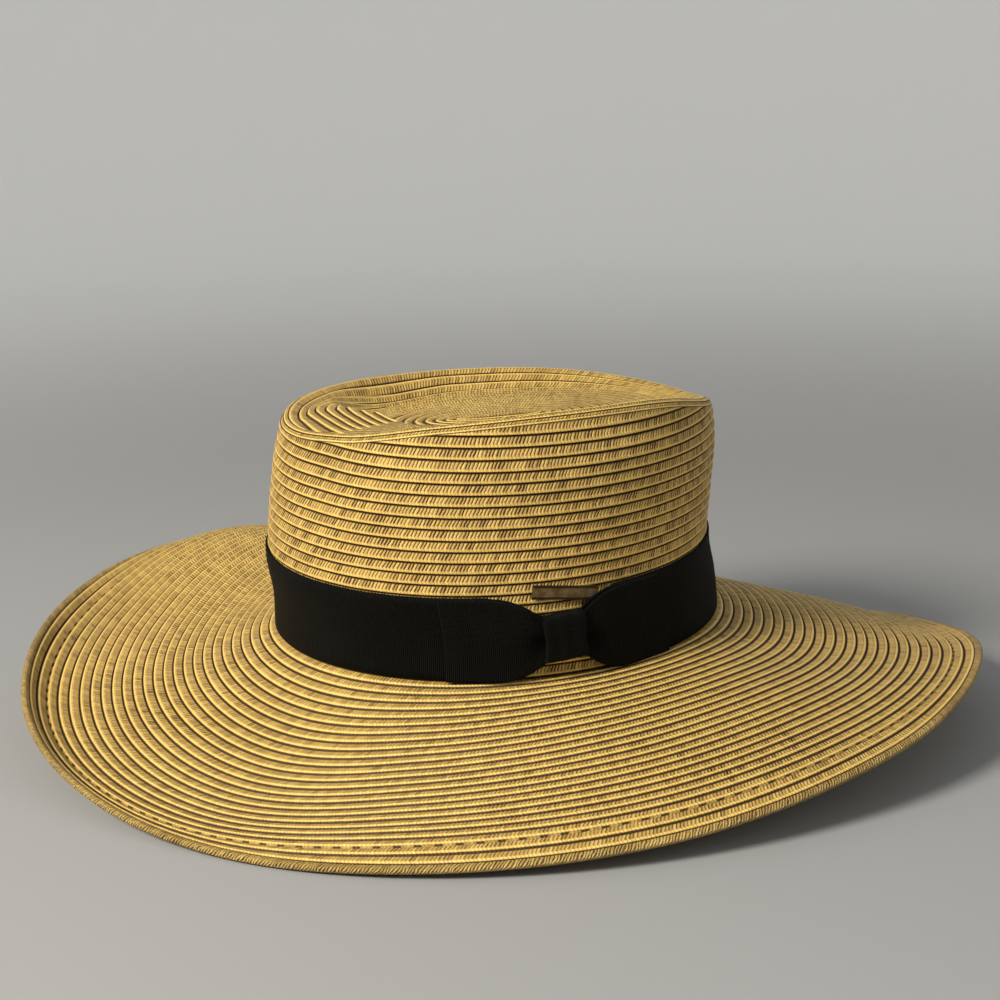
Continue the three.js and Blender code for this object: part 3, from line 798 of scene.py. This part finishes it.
bow_loop("bow_loop_front_cloth", -1, LOOP_LENGTH - 4, "bow_loop_front")
bow_loop("bow_loop_back_cloth", 1, LOOP_LENGTH, "bow_loop_back")


def bow_reach(level, stand_off):
    """How far out towards the bow the knot's back lies at a level"""
    heights = [level - KNOT_HEIGHT / 2, level, level + KNOT_HEIGHT / 2]
    reach = max(-wall_over(BOW_ANGLE, z, 0)[1] for z in heights)
    return reach + stand_off


def knot_cloth(name):
    """The knot: a strip wrapped round the bow, with soft folds across it"""
    m, n = 40, 37
    across = np.linspace(-1, 1, n)
    wrap = np.linspace(0, 1, m)
    reach = bow_reach(KNOT_LEVEL, RIBBON_FIT + RIBBON_THICK + JOINT)
    h, d, r = KNOT_HEIGHT / 2, KNOT_DEPTH, 3.2
    outline = [(0, -h), (d - r, -h)]
    outline += [(d - r + r * math.cos(t), r - h + r * math.sin(t)) for t in np.linspace(-math.pi / 2, 0, 8)]
    outline += [(d - r + r * math.cos(t), h - r + r * math.sin(t)) for t in np.linspace(0, math.pi / 2, 8)]
    outline += [(d - r, h), (0, h)]
    outline = np.array(outline)
    length = np.concatenate([[0], np.cumsum(np.linalg.norm(np.diff(outline, axis=0), axis=1))])
    o = np.interp(wrap * length[-1], length, outline[:, 0])
    z = np.interp(wrap * length[-1], length, outline[:, 1])
    folds = 0.22 * (np.cos(across * math.pi * 2.6 + 0.4) - 1) * (1 - 0.5 * across ** 2)
    belly = 0.3 * (1 - across ** 2)
    x = across[None, :] * KNOT_LENGTH / 2 * (0.93 + 0.07 * (np.abs(z)[:, None] / h))
    scale = 1 + (belly - 0.1)[None, :] / h
    points = np.stack([
        np.broadcast_to(x, (m, n)),
        -reach - np.maximum(o[:, None] + (folds + belly)[None, :] * (o[:, None] / d), 0),
        z[:, None] * scale,
    ], -1)
    lean = math.radians(KNOT_LEAN / 2)
    turned = points.copy()
    turned[..., 0] = points[..., 0] * math.cos(lean) - points[..., 2] * math.sin(lean)
    turned[..., 2] = points[..., 0] * math.sin(lean) + points[..., 2] * math.cos(lean)
    turned += np.array([wall_over(BOW_ANGLE, KNOT_LEVEL, 0)[0], 0, KNOT_LEVEL])
    grid = np.concatenate([turned[:, :1], turned, turned[:, -1:]], 1)
    grid[:, 0, 1] = np.minimum(grid[:, 0, 1] + 2.5, -reach)
    grid[:, -1, 1] = np.minimum(grid[:, -1, 1] + 2.5, -reach)
    u = wrap * length[-1]
    cells = np.concatenate([[-1.1], across, [1.1]]) * KNOT_LENGTH / 2
    uvs = grid_uvs(np.repeat(u[:, None], grid.shape[1] - 1, 1), np.stack([cells[:-1], cells[1:]], 1))
    return add_mesh(name, grid.reshape(-1, 3), grid_faces(m, grid.shape[1], False)[:, ::-1],
                    uvs.reshape(-1, 4, 2)[:, ::-1].reshape(-1, 2), RIBBON, "bow_knot")


knot_cloth("bow_knot_cloth")

# The tab keeps the solid's mesh
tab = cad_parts["tab_plate"]
lean = math.radians(TAB_LEAN)
tab_corners = np.array([list(v.co) for v in tab.data.vertices])
tab_up = place(np.array([math.sin(lean), 0, math.cos(lean)])) - place(np.zeros(3))
tab_up /= np.linalg.norm(tab_up)
METAL = metal_material("tab_metal", tab_corners.mean(0), tab_up, TAB_HEIGHT / 2000)
for material_slot in tab.material_slots:
    material_slot.material = METAL

# Camera, fitted to the photo in the hat's frame
EYE_DISTANCE, EYE_UP, EYE_SIDE, EYE_ROLL, FOCAL_PIXELS = 862, 18.55, 19.0, 0.11, 1878
TARGET_LEVEL, TARGET_RIGHT, TARGET_UP, PHOTO_PIXELS = 40, 0.38, 11.4, 1000
e, s = math.radians(EYE_UP), math.radians(EYE_SIDE)
back = np.array([-math.sin(s) * math.cos(e), -math.cos(s) * math.cos(e), math.sin(e)])
right = np.array([math.cos(s), -math.sin(s), 0])
up = np.cross(right, -back)
target = np.array([0, 0, TARGET_LEVEL]) + right * TARGET_RIGHT + up * TARGET_UP
roll = math.radians(EYE_ROLL)
right, up = right * math.cos(roll) + up * math.sin(roll), up * math.cos(roll) - right * math.sin(roll)
eye, zero = place(target + back * EYE_DISTANCE), place(np.zeros(3))
axes = [(place(d) - zero) * 1000 for d in (right, up, back)]
camera = bpy.data.objects.new("camera", bpy.data.cameras.new("camera"))
bpy.context.collection.objects.link(camera)
camera.data.sensor_width = 36
camera.data.lens = FOCAL_PIXELS / PHOTO_PIXELS * camera.data.sensor_width
matrix_rows = [[*(axis[k] for axis in axes), eye[k]] for k in range(3)]
camera.matrix_world = Matrix(matrix_rows + [[0, 0, 0, 1]])
bpy.context.scene.camera = camera

# Floor that curves up into a backdrop all round
reach, bend_radius, backdrop_height = 2.0, 1.2, 3.2
profile = [(0.0, 0.0), (0.6, 0.0), (reach, 0.0)]
profile += [
    (reach + bend_radius * math.sin(t), bend_radius * (1 - math.cos(t)))
    for t in np.linspace(0, math.pi / 2, 17)[1:]
]
profile += [(reach + bend_radius, backdrop_height)]
sides = 96
verts = [
    (r * math.cos(2 * math.pi * k / sides), r * math.sin(2 * math.pi * k / sides), z)
    for r, z in profile[1:] for k in range(sides)
] + [(0.0, 0.0, 0.0)]
faces = [(len(verts) - 1, k, (k + 1) % sides) for k in range(sides)]
for j in range(len(profile) - 2):
    for k in range(sides):
        a, b = j * sides + k, j * sides + (k + 1) % sides
        faces.append((a, a + sides, b + sides, b))
floor_mesh = bpy.data.meshes.new("floor")
floor_mesh.from_pydata(verts, [], faces)
floor_mesh.polygons.foreach_set("use_smooth", [True] * len(faces))
floor = bpy.data.objects.new("floor", floor_mesh)
bpy.context.collection.objects.link(floor)
paper = Nodes("floor_paper")
here = paper.add("ShaderNodeTexCoord").outputs["Object"]
where = paper.add("ShaderNodeVectorMath", {0: here}, operation="LENGTH")
# The floor is painted darker near the hat and paler far off: painted shade that tones down the lamps' bright
# pool round the hat
far_off = paper.ramp(where.outputs["Value"], 0.5, 2.2)
floor_colour = paper.mix(far_off, (0.32, 0.32, 0.312, 1), (0.82, 0.82, 0.8, 1))
paper.put(paper.shader.inputs["Base Color"], floor_colour)
paper.shader.inputs["Roughness"].default_value = 0.85
floor_mesh.materials.append(paper.material)


# Light: a soft key from the left, a weak fill from the right and an even sky
def area_light(name, place_at, size, power, colour):
    light = bpy.data.lights.new(name, "AREA")
    light.shape = "DISK"
    light.size, light.energy, light.color = size, power, colour
    lamp = bpy.data.objects.new(name, light)
    bpy.context.collection.objects.link(lamp)
    lamp.location = place_at
    aim = np.array([0, 0, 0.05]) - np.array(place_at)
    lamp.rotation_mode = "QUATERNION"
    lamp.rotation_quaternion = Vector(aim).to_track_quat("-Z", "Y")


area_light("key", (-1.5, -0.65, 1.15), 0.6, 54, (1.0, 0.95, 0.88))
area_light("fill", (1.2, -1.4, 0.9), 1.4, 4, (0.95, 0.97, 1.0))
world = bpy.data.worlds.new("sky")
world.use_nodes = True
world.node_tree.nodes["Background"].inputs["Color"].default_value = (0.9, 0.94, 1.0, 1)
world.node_tree.nodes["Background"].inputs["Strength"].default_value = 0.36
bpy.context.scene.world = world
bpy.context.scene.view_settings.view_transform = "Standard"
bpy.context.scene.view_settings.look = "None"
